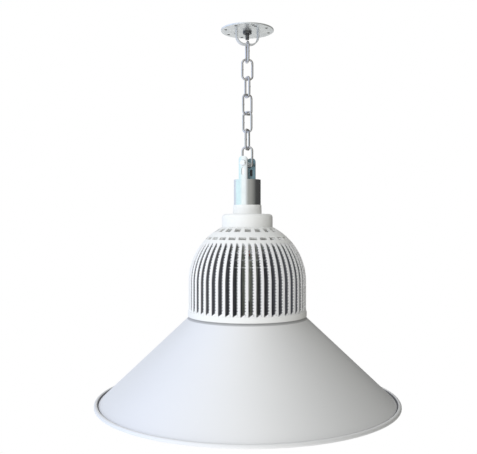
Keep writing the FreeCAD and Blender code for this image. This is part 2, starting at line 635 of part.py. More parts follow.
def make_heat_sink():
    """Core with fins all round it, joined by a top band and three tie rings."""
    bottom = f"-{FIN_HEIGHT}"
    spring = f"(cap_drop - {DOME_DROP})"
    body = turned("heat_sink", [
        ("core_bore", "-core_drop"), ("core_bore", f"{bottom} - floor_thick"),
        ("spigot_radius", f"{bottom} - floor_thick"), ("spigot_radius", bottom),
        ("core_radius", bottom), ("core_radius", "-core_drop")], FIN_TOP)
    notch = new_sketch(body, "notch_shape")
    rectangle(notch, "-notch_width / 2", "notch_width / 2", "-(core_drop + notch_depth)",
              "cut_margin - core_drop")
    pocket(body, "notch", notch, "core_radius + cut_margin", back=True)
    drill(body, "board_screw", "board_screw_circle", "board_screw_turn - fin_turn",
          "board_screw_radius + thread_play", "board_screw_count", f"{bottom} - floor_thick",
          "board_screw_bite + cut_margin", back=True)
    inset = "(fin_edge_thick / 2)"
    plate = new_sketch(body, "fin_shape")
    root = "(core_radius - fin_root)"
    outline(plate, [
        (root, bottom), (f"body_radius - {inset}", bottom),
        (f"body_radius - {inset}", spring, f"dome_radius - {inset}", "ccw"),
        (dome_at("cap_drop", inset), "0"), (BAND_REACH, "0"), (BAND_REACH, "-band_thick"),
        ("fin_shoulder_reach", "-fin_shoulder_drop"), (root, "-core_drop")])
    fin = pad(body, "fin", plate, "fin_thick", symmetric=True)
    strip = new_sketch(body, "edge_shape")
    outline(strip, [
        ("body_radius - fin_edge_thick", bottom), ("body_radius", bottom),
        ("body_radius", spring, "dome_radius", "ccw"), (dome_at("cap_drop"), "0"),
        (dome_at("cap_drop", "fin_edge_thick"), "0", "dome_radius - fin_edge_thick", "cw"),
        ("body_radius - fin_edge_thick", spring)])
    edge = pad(body, "fin_edge", strip, "fin_edge_width", symmetric=True)
    ring_of(body, "fins", [fin, edge], FINS)
    bands = new_sketch(body, "bands_shape")
    rectangle(bands, BAND_REACH, f"{ROD_CIRCLE} + band_outset", "-band_thick", "0")
    for step in range(3):
        top = f"(tie_upper_drop + {step} * tie_step)"
        reach = f"(body_radius - tie_inset + {step} * tie_spread)"
        rectangle(bands, reach, f"{reach} + tie_section", f"-{top} - tie_section", f"-{top}")
    revolve(body, "bands", bands)
    drill(body, "rod", ROD_CIRCLE, f"{ROD_TURN} - fin_turn", "rod_radius + rod_play", "rod_count",
          depth="band_thick + cut_margin")
    body.setExpression("Placement.Rotation.Angle", bound("fin_turn"))


def make_base_casting():
    """White base: floor under the fins, ring outside, ledge and pocket for the cover glass."""
    hole = "(spigot_radius + spigot_play)"
    body = turned("base_casting", [
        (hole, "0"), (hole, "-floor_thick"), (LEDGE_REACH, "-floor_thick"),
        (LEDGE_REACH, "-ledge_drop"), (POCKET_RADIUS, "-ledge_drop"),
        (POCKET_RADIUS, "-base_height"), (BASE_RADIUS, "-base_height"),
        (BASE_RADIUS, "-base_round", "base_round", "ccw"), (f"{BASE_RADIUS} - base_round", "0")],
        BASE_TOP)
    drill(body, "rod", ROD_CIRCLE, ROD_TURN, "rod_radius + rod_play", "rod_count")
    drill(body, "clamp", CLAMP_CIRCLE, "0", "clamp_radius + thread_play", "clamp_count",
          "-base_height", "clamp_bite", back=True)


# ---------------------------------------------------------------- lamp parts under the base

def make_led_board():
    """Aluminium-backed board pressed against the core."""
    body = turned("led_board", [
        ("led_board_hole", "0"), ("led_board_hole", "-led_board_thick"),
        ("led_board_radius", "-led_board_thick"), ("led_board_radius", "0")], LED_BOARD_TOP)
    drill(body, "screw", "board_screw_circle", "board_screw_turn", "board_screw_radius + screw_play",
          "board_screw_count")


def make_led_chips():
    """Two rings of square LED packages."""
    body = new_body("led_chips", f"{LED_BOARD_TOP} - led_board_thick")
    for ring in ("inner", "outer"):
        sketch = new_sketch(body, f"{ring}_chip_shape", "XY_Plane")
        rectangle(sketch, f"{ring}_chip_reach - chip_width / 2", f"{ring}_chip_reach + chip_width / 2",
                  "-chip_width / 2", "chip_width / 2")
        chip = pad(body, f"{ring}_chip", sketch, "chip_thick", back=True)
        ring_of(body, f"{ring}_chip_ring", [chip], f"{ring}_chips")


def make_lens_parts():
    """Gasket on the casting's ledge, cover glass, and the ring that carries the glass."""
    turned("lens_gasket", [
        (f"{LEDGE_REACH} + gasket_inset", "-ledge_drop"), (LENS_RADIUS, "-ledge_drop"),
        (LENS_RADIUS, "-(ledge_drop + gasket_thick)"),
        (f"{LEDGE_REACH} + gasket_inset", "-(ledge_drop + gasket_thick)")], BASE_TOP)
    top = "-(ledge_drop + gasket_thick)"
    low = f"({top} - lens_thick)"
    turned("lens", [
        ("0", top), (f"{LENS_RADIUS} - lens_edge", top), (LENS_RADIUS, f"{top} - lens_edge"),
        (LENS_RADIUS, f"{low} + lens_edge"), (f"{LENS_RADIUS} - lens_edge", low), ("0", low)],
        BASE_TOP)
    clamp = "-(base_height + sheet_thick)"
    seat = f"({LENS_RADIUS} + lens_play)"
    foot = f"({clamp} - ring_height)"
    body = turned("lens_ring", [
        (RING_INNER, low), (seat, low), (seat, clamp), (RING_OUTER, clamp),
        (RING_OUTER, f"{foot} + ring_edge"), (f"{RING_OUTER} - ring_edge", foot),
        (f"{RING_INNER} + ring_edge", foot), (RING_INNER, f"{foot} + ring_edge")], BASE_TOP)
    drill(body, "clamp", CLAMP_CIRCLE, "0", "clamp_radius + screw_play", "clamp_count")


def make_reflector():
    """Spun cone with a flat flange under the base casting and a rolled rim."""
    bend_x = FLANGE_OUTER + " + {0} * sin(cone_slope)"
    bend_z = "{0} * cos(cone_slope) - flange_bend"
    inner_bend = "(flange_bend - sheet_thick)"
    flange_inner = f"{POCKET_RADIUS} + flange_lap"
    run = f"(cone_radius - ({bend_x.format('flange_bend')}))"
    rim = f"({bend_z.format('flange_bend')} - {run} * tan(cone_slope))"
    roll = "(rim_roll - sheet_thick)"
    far = "(cone_radius + 2 * rim_roll)"
    foot = f"({rim} - rim_skirt)"
    toe = "(cone_radius + rim_skirt / tan(cone_slope) - sheet_thick / sin(cone_slope))"
    body = turned("reflector", [
        (flange_inner, "0"), (flange_inner, "-sheet_thick"),
        (FLANGE_OUTER, "-sheet_thick", inner_bend, "cw"),
        (bend_x.format(inner_bend), bend_z.format(inner_bend)), (toe, foot),
        ("cone_radius + sheet_thick", foot), ("cone_radius + sheet_thick", rim, roll, "cw"),
        ("cone_radius + rim_roll", f"{rim} + {roll}", roll, "cw"), (f"{far} - sheet_thick", rim),
        (f"{far} - sheet_thick", foot), (far, foot), (far, rim, "rim_roll", "ccw"),
        ("cone_radius + rim_roll", f"{rim} + rim_roll", "rim_roll", "ccw"), ("cone_radius", rim),
        (bend_x.format("flange_bend"), bend_z.format("flange_bend"), "flange_bend", "ccw"),
        (FLANGE_OUTER, "0")], FLANGE_TOP)
    drill(body, "clamp", CLAMP_CIRCLE, "0", "clamp_radius + screw_play", "clamp_count")


def make_fasteners():
    """Screw groups: cap, tie rods, LED board and clamp ring."""
    screws("cap_screws", f"{LID_TOP} - lid_thick", CAP_SCREW_CIRCLE, "0", "cap_screw_count",
           ("cap_screw_head", "cap_screw_head_thick"),
           ("cap_screw_radius", "lid_thick + cap_roof + cap_screw_bite"))
    screws("tie_rods", LED_BOARD_TOP, ROD_CIRCLE, ROD_TURN, "rod_count",
           ("rod_head", "rod_head_thick"),
           ("rod_radius", f"floor_thick + {FIN_HEIGHT} + cap_rim / 2 - rod_short"))
    screws("board_screws", f"{LED_BOARD_TOP} - led_board_thick", "board_screw_circle", "board_screw_turn",
           "board_screw_count", ("board_screw_head", "board_screw_head_thick"),
           ("board_screw_radius", "led_board_thick + board_screw_bite"))
    screws("clamp_screws", f"{FLANGE_TOP} - sheet_thick - ring_height", CLAMP_CIRCLE, "0",
           "clamp_count", ("clamp_head", "clamp_head_thick"),
           ("clamp_radius", "ring_height + sheet_thick + clamp_bite - cut_margin / 2"))


# ---------------------------------------------------------------- build, check and write

def check_document():
    """Stop on a failed object, an empty or invalid piece, or a cut that removed nothing."""
    for item in doc.Objects:
        if "Invalid" in item.State or "Error" in item.State:
            raise RuntimeError(f"{item.Name} failed: {item.State}")
        if item.TypeId in ("PartDesign::Pocket", "PartDesign::Groove"):
            if item.Shape.Volume >= item.BaseFeature.Shape.Volume - 1e-6:
                raise RuntimeError(f"{item.Name} cut nothing")
    for body in bodies:
        if body.Shape.isNull() or not body.Shape.isValid() or not body.Shape.Solids:
            raise RuntimeError(f"{body.Label} has no valid solid")


def write_parts():
    """One STEP file for each piece, named after its label."""
    os.makedirs("parts", exist_ok=True)
    for body in bodies:
        body.Shape.exportStep(f"parts/{body.Label}.step")
        print(f"{body.Label}: {len(body.Shape.Solids)} solids, {body.Shape.Volume:.0f} mm3")


make_ceiling_plate()
make_centre_stud()
make_stud_nut()
make_plate_strap()
for link_number in CHAIN_TURNS:
    make_chain_link(link_number)
make_hanger_bracket()
make_hanger_bolt()
make_hanger_nut()
make_neck_collar()
make_cap_collar()
make_vent_cap()
make_driver_lid()
make_cable_grommet()
make_driver_case()
make_case_screws()
make_driver_board()
make_driver_parts()
make_lead("red_lead", "lead_side", "0")
make_lead("black_lead", "-lead_side", "180")
make_heat_sink()
make_base_casting()
make_led_board()
make_led_chips()
make_lens_parts()
make_reflector()
make_fasteners()
doc.recompute()
check_document()
write_parts()
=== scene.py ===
# %% [markdown]
# # A hanging high bay light, dressed for its picture
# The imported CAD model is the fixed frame: every piece already has its true size and place.
# Blender adds what a CAD solid lacks: spun, rolled and welded shapes with real edges, and
# the finish of every surface. All lengths are metres, and the light hangs down from z = 0.

# %% Load the frame
import json
import math
import bpy
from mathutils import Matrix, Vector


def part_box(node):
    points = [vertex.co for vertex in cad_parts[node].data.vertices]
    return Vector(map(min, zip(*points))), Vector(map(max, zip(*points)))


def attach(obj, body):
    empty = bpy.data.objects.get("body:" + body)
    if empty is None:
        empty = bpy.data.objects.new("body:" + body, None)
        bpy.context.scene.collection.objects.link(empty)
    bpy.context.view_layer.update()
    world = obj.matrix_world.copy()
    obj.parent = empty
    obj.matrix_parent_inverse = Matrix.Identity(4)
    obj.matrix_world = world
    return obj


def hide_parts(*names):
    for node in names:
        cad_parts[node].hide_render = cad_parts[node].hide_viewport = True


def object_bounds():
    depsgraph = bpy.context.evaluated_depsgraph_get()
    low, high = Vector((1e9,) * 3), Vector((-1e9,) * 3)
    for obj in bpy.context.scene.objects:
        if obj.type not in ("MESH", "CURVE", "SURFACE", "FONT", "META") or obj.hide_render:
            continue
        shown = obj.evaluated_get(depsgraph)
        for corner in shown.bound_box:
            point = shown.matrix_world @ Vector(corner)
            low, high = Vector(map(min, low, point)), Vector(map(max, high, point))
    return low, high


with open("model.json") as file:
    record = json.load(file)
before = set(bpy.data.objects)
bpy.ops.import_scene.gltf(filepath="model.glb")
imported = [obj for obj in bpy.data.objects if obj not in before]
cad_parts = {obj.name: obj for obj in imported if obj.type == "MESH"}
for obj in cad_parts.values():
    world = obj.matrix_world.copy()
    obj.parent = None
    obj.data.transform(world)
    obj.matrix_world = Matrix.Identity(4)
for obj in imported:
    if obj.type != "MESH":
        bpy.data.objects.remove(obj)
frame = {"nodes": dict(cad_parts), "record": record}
cad_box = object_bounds()
print("CAD box", cad_box)

# %% [markdown]
# ## Working by hand, in code
# Operators act on whatever is selected, so each step starts from a clean selection.
# Small helpers keep the later cells short: one starts a piece from a primitive, others
# select its points by place, apply a modifier, and put the finished piece on its CAD body.

# %% Selection helpers
MM = 0.001
SHARP_TURN = 35
DOUBLES = 1e-6


def nothing_selected():
    """Leave edit mode and deselect every object."""
    if bpy.context.mode != "OBJECT":
        bpy.ops.object.mode_set(mode="OBJECT")
    bpy.ops.object.select_all(action="DESELECT")


def only(piece):
    """Make one object the selected and active one."""
    nothing_selected()
    piece.select_set(True)
    bpy.context.view_layer.objects.active = piece


def started(name):
    """Name the primitive that was just added, and go into edit mode with it all selected."""
    piece = bpy.context.object
    piece.name = name
    piece.data.name = name
    bpy.ops.object.mode_set(mode="EDIT")
    bpy.ops.mesh.select_all(action="SELECT")
    return piece


def pick(piece, wanted):
    """Select the points for which wanted(place) is true."""
    bpy.ops.mesh.select_mode(type="VERT")
    bpy.ops.mesh.select_all(action="DESELECT")
    bpy.ops.object.mode_set(mode="OBJECT")
    for point in piece.data.vertices:
        point.select = wanted(point.co)
    bpy.ops.object.mode_set(mode="EDIT")


def modified(piece, kind, **settings):
    """Add a modifier, set it up and apply it."""
    only(piece)
    modifier = piece.modifiers.new(kind.lower(), kind)
    for setting, value in settings.items():
        setattr(modifier, setting, value)
    bpy.ops.object.modifier_apply(modifier=modifier.name)


def softened(piece, width, segments=2):
    """Round the sharp edges, as a press, a mould or a file leaves them."""
    modified(piece, "BEVEL", width=width, segments=segments, limit_method="ANGLE",
             angle_limit=math.radians(SHARP_TURN), use_clamp_overlap=True)


def smoothed(piece, angle=32):
    """Shade curved walls smooth, keep true corners sharp and broad faces flat."""
    only(piece)
    bpy.ops.object.shade_smooth_by_angle(angle=math.radians(angle))
    modified(piece, "WEIGHTED_NORMAL", keep_sharp=True)


def joined(name, pieces):
    """Join pieces of one casting or one stamping into a single mesh."""
    only(pieces[0])
    for piece in pieces[1:]:
        piece.select_set(True)
    bpy.ops.object.join()
    pieces[0].name = name
    return pieces[0]


def in_place(piece):
    """Leave edit mode and move the object's own placement into its mesh."""
    only(piece)
    bpy.ops.object.transform_apply(location=True, rotation=True, scale=True)
    return piece


def turned(degrees, axis="Z", about=(0, 0, 0)):
    """Turn what is selected, right-handed: with no window the operator turns the other way."""
    bpy.ops.transform.rotate(value=-math.radians(degrees), orient_axis=axis, center_override=about)


def swept(degrees, steps, about, axis=(0, 1, 0)):
    """Carry the selected edges round a centre, right-handed."""
    bpy.ops.mesh.spin(steps=steps, angle=-math.radians(degrees), center=about, axis=axis)


def raised(offset):
    """Extrude the selected edges by an offset."""
    bpy.ops.mesh.extrude_edges_move(TRANSFORM_OT_translate={"value": offset})


def tidied(piece):
    """Merge doubles, point all faces outwards and leave edit mode."""
    bpy.ops.mesh.select_all(action="SELECT")
    bpy.ops.mesh.remove_doubles(threshold=DOUBLES)
    bpy.ops.mesh.normals_make_consistent(inside=False)
    bpy.ops.object.mode_set(mode="OBJECT")
    return piece


# %% [markdown]
# ## Turned and spun pieces
# A spun or turned part is a ring of points carried along a profile. By hand this is a
# circle that is extruded, slid along the axis and scaled to the next radius, over and over.
# It gives clean rings of quads, so highlights run round the metal as they should.

# %% Carry a ring along a profile
def spun(name, profile, steps=96, closed=False):
    """A ring of points carried through (radius, height), and back to the start if closed."""
    nothing_selected()
    radius, height = profile[0]
    bpy.ops.mesh.primitive_circle_add(vertices=steps, radius=radius)
    piece = started(name)
    bpy.ops.transform.translate(value=(0, 0, height))
    for next_radius, next_height in profile[1:] + (profile[:1] if closed else []):
        raised((0, 0, next_height - height))
        scale = next_radius / radius
        bpy.ops.transform.resize(value=(scale, scale, 1), center_override=(0, 0, next_height))
        radius, height = next_radius, next_height
    return tidied(piece)


def flat_ring(name, inner, outer, top, thick):
    """A ring of oblong section."""
    return spun(name, [(inner, top), (outer, top), (outer, top - thick), (inner, top - thick)],
                closed=True)


def arc(centre, radius, first, last, steps):
    """Points (radius, height) on an arc, its angles in degrees from the outward direction."""
    turns = [math.radians(first + (last - first) * step / steps) for step in range(steps + 1)]
    return [(centre[0] + radius * math.cos(turn), centre[1] + radius * math.sin(turn))
            for turn in turns]


# %% Trace a flat outline
def traced(name, points, depth):
    """A plate: its outline is drawn point by point, filled and given a depth."""
    nothing_selected()
    bpy.ops.mesh.primitive_plane_add(size=MM)
    piece = started(name)
    bpy.ops.mesh.select_mode(type="VERT")
    bpy.ops.mesh.select_all(action="SELECT")
    bpy.ops.mesh.merge(type="CENTER")
    bpy.ops.transform.translate(value=points[0])
    for last, point in zip(points, points[1:]):
        step = tuple(there - here for here, there in zip(last, point))
        bpy.ops.mesh.extrude_vertices_move(TRANSFORM_OT_translate={"value": step})
    bpy.ops.mesh.select_all(action="SELECT")
    bpy.ops.mesh.edge_face_add()
    bpy.ops.mesh.extrude_region_move(TRANSFORM_OT_translate={"value": depth})
    return tidied(piece)


# %% [markdown]
# ## Shader tools
# Materials are built from nodes. Effects that several finishes share become node groups:
# the pebbled skin of powder coat, the streaks and scuffs of plated metal, and the fine
# circles that a spinning lathe leaves. Each group only gives out values that vary.

# %% Node helpers
def add_node(tree, kind, **settings):
    """A node of a kind, with its properties and its unlinked inputs set by name."""
    node = tree.nodes.new(kind)
    for setting, value in settings.items():
        if hasattr(node, setting):
            setattr(node, setting, value)
        else:
            node.inputs[setting.replace("_", " ")].default_value = value
    return node


def maths(tree, operation, first, second=0.0, clamp=False):
    """One Math node, its inputs numbers or sockets. Returns its output."""
    node = add_node(tree, "ShaderNodeMath", operation=operation, use_clamp=clamp)
    for socket, value in zip(node.inputs, (first, second)):
        if isinstance(value, (int, float)):
            socket.default_value = value
        else:
            tree.links.new(value, socket)
    return node.outputs[0]


def position(tree, kind="Object"):
    """The x, y and z of a point, or of its normal."""
    split = add_node(tree, "ShaderNodeSeparateXYZ")
    tree.links.new(add_node(tree, "ShaderNodeTexCoord").outputs[kind], split.inputs[0])
    return split.outputs


def from_axis(tree):
    """A point's distance from the light's axis, and its height."""
    across, ahead, up = position(tree)
    squares = [maths(tree, "POWER", side, 2.0) for side in (across, ahead)]
    return maths(tree, "SQRT", maths(tree, "ADD", *squares)), up


def noise(tree, where, scale, detail=2.0, roughness=0.5):
    """Noise of a scale, a number or a socket, at some coordinates. Returns its value."""
    node = add_node(tree, "ShaderNodeTexNoise", Detail=detail, Roughness=roughness)
    tree.links.new(where, node.inputs["Vector"])
    if isinstance(scale, (int, float)):
        node.inputs["Scale"].default_value = scale
    else:
        tree.links.new(scale, node.inputs["Scale"])
    return node.outputs["Fac"]


def ramp(tree, value, low, high, start=0.0, end=1.0):
    """A value's range low to high stretched, and clamped, to start to end."""
    node = add_node(tree, "ShaderNodeMapRange", From_Min=low, From_Max=high, To_Min=start, To_Max=end)
    tree.links.new(value, node.inputs["Value"])
    return node.outputs["Result"]


def blended(tree, share, first, second):
    """Two colours, each a socket or an RGB triple, mixed by a share."""
    node = add_node(tree, "ShaderNodeMix", data_type="RGBA")
    tree.links.new(share, node.inputs["Factor"])
    for socket, colour in ((node.inputs[6], first), (node.inputs[7], second)):
        if isinstance(colour, bpy.types.NodeSocket):
            tree.links.new(colour, socket)
        else:
            socket.default_value = (*colour, 1)
    return node.outputs[2]


def new_group(name, inputs, outputs):
    """An empty shader group with named sockets. Returns the tree, its input and output nodes."""
    tree = bpy.data.node_groups.new(name, "ShaderNodeTree")
    for socket, kind, value in inputs:
        made = tree.interface.new_socket(socket, in_out="INPUT", socket_type=f"NodeSocket{kind}")
        made.default_value = value
    for socket, kind in outputs:
        tree.interface.new_socket(socket, in_out="OUTPUT", socket_type=f"NodeSocket{kind}")
    return tree, tree.nodes.new("NodeGroupInput"), tree.nodes.new("NodeGroupOutput")


# %% Powder coat skin
def powder_skin_group():
    """Pebbled coat: patchy tint, rare dust specks, and the soft peel of baked powder."""
    tree, given, result = new_group(
        "powder_skin",
        [("Tint", "Color", (0.9, 0.9, 0.88, 1)), ("Shade", "Color", (0.8, 0.8, 0.78, 1)),
         ("Peel Scale", "Float", 700.0), ("Gloss", "Float", 0.4)],
        [("Color", "Color"), ("Roughness", "Float"), ("Height", "Float")])
    place = add_node(tree, "ShaderNodeTexCoord").outputs["Object"]
    patches = ramp(tree, noise(tree, place, 22, 4), 0.38, 0.68)
    specks = ramp(tree, noise(tree, place, 420, 2), 0.72, 0.78)
    tint = blended(tree, maths(tree, "MULTIPLY", patches, 0.35), given.outputs["Tint"],
                   given.outputs["Shade"])
    tree.links.new(blended(tree, maths(tree, "MULTIPLY", specks, 0.5), tint, (0.42, 0.41, 0.38)),
                   result.inputs["Color"])
    worn = maths(tree, "MULTIPLY", patches, 0.12)
    tree.links.new(maths(tree, "ADD", given.outputs["Gloss"], worn), result.inputs["Roughness"])
    peel = noise(tree, place, given.outputs["Peel Scale"], 3)
    tree.links.new(maths(tree, "ADD", peel, maths(tree, "MULTIPLY", patches, 0.4)),
                   result.inputs["Height"])
    return tree


# %% Plated and bare metal skin
def metal_skin_group():
    """Streaked metal: drawn lines along one axis, cloudy plating and darker scuffs."""
    tree, given, result = new_group(
        "metal_skin",
        [("Bright", "Color", (0.8, 0.8, 0.8, 1)), ("Dull", "Color", (0.5, 0.5, 0.5, 1)),
         ("Stretch", "Vector", (1.0, 1.0, 0.05)), ("Line Scale", "Float", 900.0),
         ("Gloss", "Float", 0.25), ("Spread", "Float", 0.2)],
        [("Color", "Color"), ("Roughness", "Float"), ("Height", "Float")])
    place = add_node(tree, "ShaderNodeTexCoord").outputs["Object"]
    stretched = add_node(tree, "ShaderNodeVectorMath", operation="MULTIPLY")
    tree.links.new(place, stretched.inputs[0])
    tree.links.new(given.outputs["Stretch"], stretched.inputs[1])
    lines = noise(tree, stretched.outputs[0], given.outputs["Line Scale"], 3)
    clouds = ramp(tree, noise(tree, place, 90, 5, 0.6), 0.36, 0.7)
    scuffs = ramp(tree, noise(tree, place, 480, 4, 0.7), 0.62, 0.8)
    dullness = maths(tree, "ADD", maths(tree, "MULTIPLY", clouds, 0.55),
                     maths(tree, "MULTIPLY", scuffs, 0.45), clamp=True)
    tree.links.new(blended(tree, dullness, given.outputs["Bright"], given.outputs["Dull"]),
                   result.inputs["Color"])
    grain = maths(tree, "ADD", dullness, ramp(tree, lines, 0.3, 0.7, -0.25, 0.25))
    rough = maths(tree, "MULTIPLY", grain, given.outputs["Spread"])
    tree.links.new(maths(tree, "ADD", given.outputs["Gloss"], rough), result.inputs["Roughness"])
    tree.links.new(maths(tree, "ADD", lines, maths(tree, "MULTIPLY", scuffs, -0.6)),
                   result.inputs["Height"])
    return tree


# %% Spinning lines
def spinning_lines_group():
    """Fine circles round the light's axis, at a pitch along the profile, that fade in and out."""
    tree, given, result = new_group(
        "spinning_lines",
        [("Bright", "Color", (0.8, 0.8, 0.8, 1)), ("Dull", "Color", (0.6, 0.6, 0.6, 1)),
         ("Lines", "Float", 2500.0), ("Gloss", "Float", 0.4)],
        [("Color", "Color"), ("Roughness", "Float"), ("Height", "Float")])
    place = add_node(tree, "ShaderNodeTexCoord").outputs["Object"]
    along = maths(tree, "SUBTRACT", *from_axis(tree))
    circles = add_node(tree, "ShaderNodeTexNoise", noise_dimensions="1D", Detail=3.0)
    tree.links.new(maths(tree, "MULTIPLY", along, given.outputs["Lines"]), circles.inputs["W"])
    circles.inputs["Scale"].default_value = 1.0
    clouds = ramp(tree, noise(tree, place, 9, 4, 0.55), 0.35, 0.7)
    pores = ramp(tree, noise(tree, place, 900, 2), 0.66, 0.76)
    share = maths(tree, "ADD", maths(tree, "MULTIPLY", clouds, 0.35),
                  ramp(tree, circles.outputs["Fac"], 0.35, 0.75, 0.0, 0.35), clamp=True)
    tree.links.new(blended(tree, share, given.outputs["Bright"], given.outputs["Dull"]),
                   result.inputs["Color"])
    tree.links.new(maths(tree, "ADD", given.outputs["Gloss"], maths(tree, "MULTIPLY", share, 0.12)),
                   result.inputs["Roughness"])
    tree.links.new(maths(tree, "SUBTRACT", circles.outputs["Fac"],
                         maths(tree, "MULTIPLY", pores, 0.3)), result.inputs["Height"])
    return tree


POWDER_SKIN = powder_skin_group()
METAL_SKIN = metal_skin_group()
SPINNING_LINES = spinning_lines_group()
print("node groups", [group.name for group in bpy.data.node_groups])


# %% One material from one group
RELIEF_DEPTH = 0.2 * MM


def finish(name, skin, given, bump, patch=None, **constants):
    """A material: a skin group feeds colour, roughness and bump, and constants sit on the shader.

    A patch is (mask, colour, roughness): another finish wherever mask(tree) gives one.
    """
    material = bpy.data.materials.new(name)
    material.use_nodes = True
    tree = material.node_tree
    shader = tree.nodes["Principled BSDF"]
    for socket, value in constants.items():
        shader.inputs[socket.replace("_", " ")].default_value = value
    group = add_node(tree, "ShaderNodeGroup", node_tree=skin)
    for socket, value in given.items():
        taken = group.inputs[socket]
        taken.default_value = (*value, 1) if taken.type == "RGBA" else value
    colour, rough = group.outputs["Color"], group.outputs["Roughness"]
    if patch:
        mask, patch_colour, patch_rough = patch
        share = mask(tree)
        colour = blended(tree, share, colour, patch_colour)
        rough = maths(tree, "ADD", rough, maths(tree, "MULTIPLY", share, patch_rough))
    tree.links.new(colour, shader.inputs["Base Color"])
    tree.links.new(rough, shader.inputs["Roughness"])
    relief = add_node(tree, "ShaderNodeBump", Strength=bump, Distance=RELIEF_DEPTH)
    tree.links.new(group.outputs["Height"], relief.inputs["Height"])
    tree.links.new(relief.outputs["Normal"], shader.inputs["Normal"])
    return material


# %% [markdown]
# ## The finishes
# Zinc on the ceiling plate, chain and screws is grey and a little cloudy. The tube is
# polished and shows its surroundings. The castings are powder coated in warm white, and
# the fins are coated only along their outer edges, which leaves the gaps dark. The cone is
# spun aluminium with a satin coat.

# %% Masks for painted shade, painted light and the core's black foot
TUBE_BORE = 17.2 * MM
HOLES_WITHIN = 35 * MM
NECK_CREASE, NECK_SHADE = 82 * MM, 0.45
RIM_CREASE = (198.6 * MM, 201.2 * MM)
CREASE_FADE = 0.8 * MM
ROOT_LIGHT_START, ROOT_LIGHT_FULL = 60 * MM, 52 * MM
CORE_BLACK = 14 * MM
FOOT_FADE = 2 * MM


def shaded_tube_inside(tree):
    """Painted shade: the tube's bore and the inner faces of its ears, coloured dark grey-green where
    shade falls.
    """
    return ramp(tree, from_axis(tree)[0], TUBE_BORE, TUBE_BORE - 0.2 * MM)


def shade_in_screw_holes(tree):
    """Painted shade in the plate's punched holes: their walls, faces that look sideways inside the
    plate's edge, are coloured near black.
    """
    upright = ramp(tree, maths(tree, "ABSOLUTE", position(tree, "Normal")[2]), 0.5, 0.3)
    inside = ramp(tree, from_axis(tree)[0], HOLES_WITHIN, HOLES_WITHIN - 0.5 * MM)
    return maths(tree, "MULTIPLY", upright, inside)


def shade_in_creases(tree):
    """Painted shade in two creases: under the base casting, and where the cone meets its rim."""
    reach = from_axis(tree)[0]
    inner, outer = RIM_CREASE
    at_neck = ramp(tree, reach, NECK_CREASE, NECK_CREASE - CREASE_FADE, 0.0, NECK_SHADE)
    at_rim = maths(tree, "MULTIPLY", ramp(tree, reach, inner, inner + CREASE_FADE),
                   ramp(tree, reach, outer, outer - CREASE_FADE))
    return maths(tree, "MAXIMUM", at_neck, at_rim)


def lit_near_core(tree):
    """Painted light: the roots of the fins are coloured pale, as if lit deep in the gaps near the
    core.
    """
    return ramp(tree, from_axis(tree)[0], ROOT_LIGHT_START, ROOT_LIGHT_FULL)


def at_core_foot(tree):
    """The core's lower end, coloured black up to a height above the base casting."""
    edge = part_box("base_casting")[1].z + CORE_BLACK
    return ramp(tree, position(tree)[2], edge + FOOT_FADE, edge)


# %% Make every finish
def zinc(name, bright, dull, gloss, stretch=(1.0, 1.0, 1.0), scale=700.0, bump=0.08, patch=None,
         metal=1.0):
    """Plated steel."""
    return finish(name, METAL_SKIN,
                  {"Bright": bright, "Dull": dull, "Stretch": stretch, "Line Scale": scale,
                   "Gloss": gloss, "Spread": 0.22}, bump=bump, patch=patch, Metallic=metal)


def coated(name, tint, shade, gloss, peel=700.0, patch=None):
    """Powder-coated casting, rubber or moulded plastic."""
    return finish(name, POWDER_SKIN, {"Tint": tint, "Shade": shade, "Peel Scale": peel,
                                      "Gloss": gloss}, bump=0.12, patch=patch)


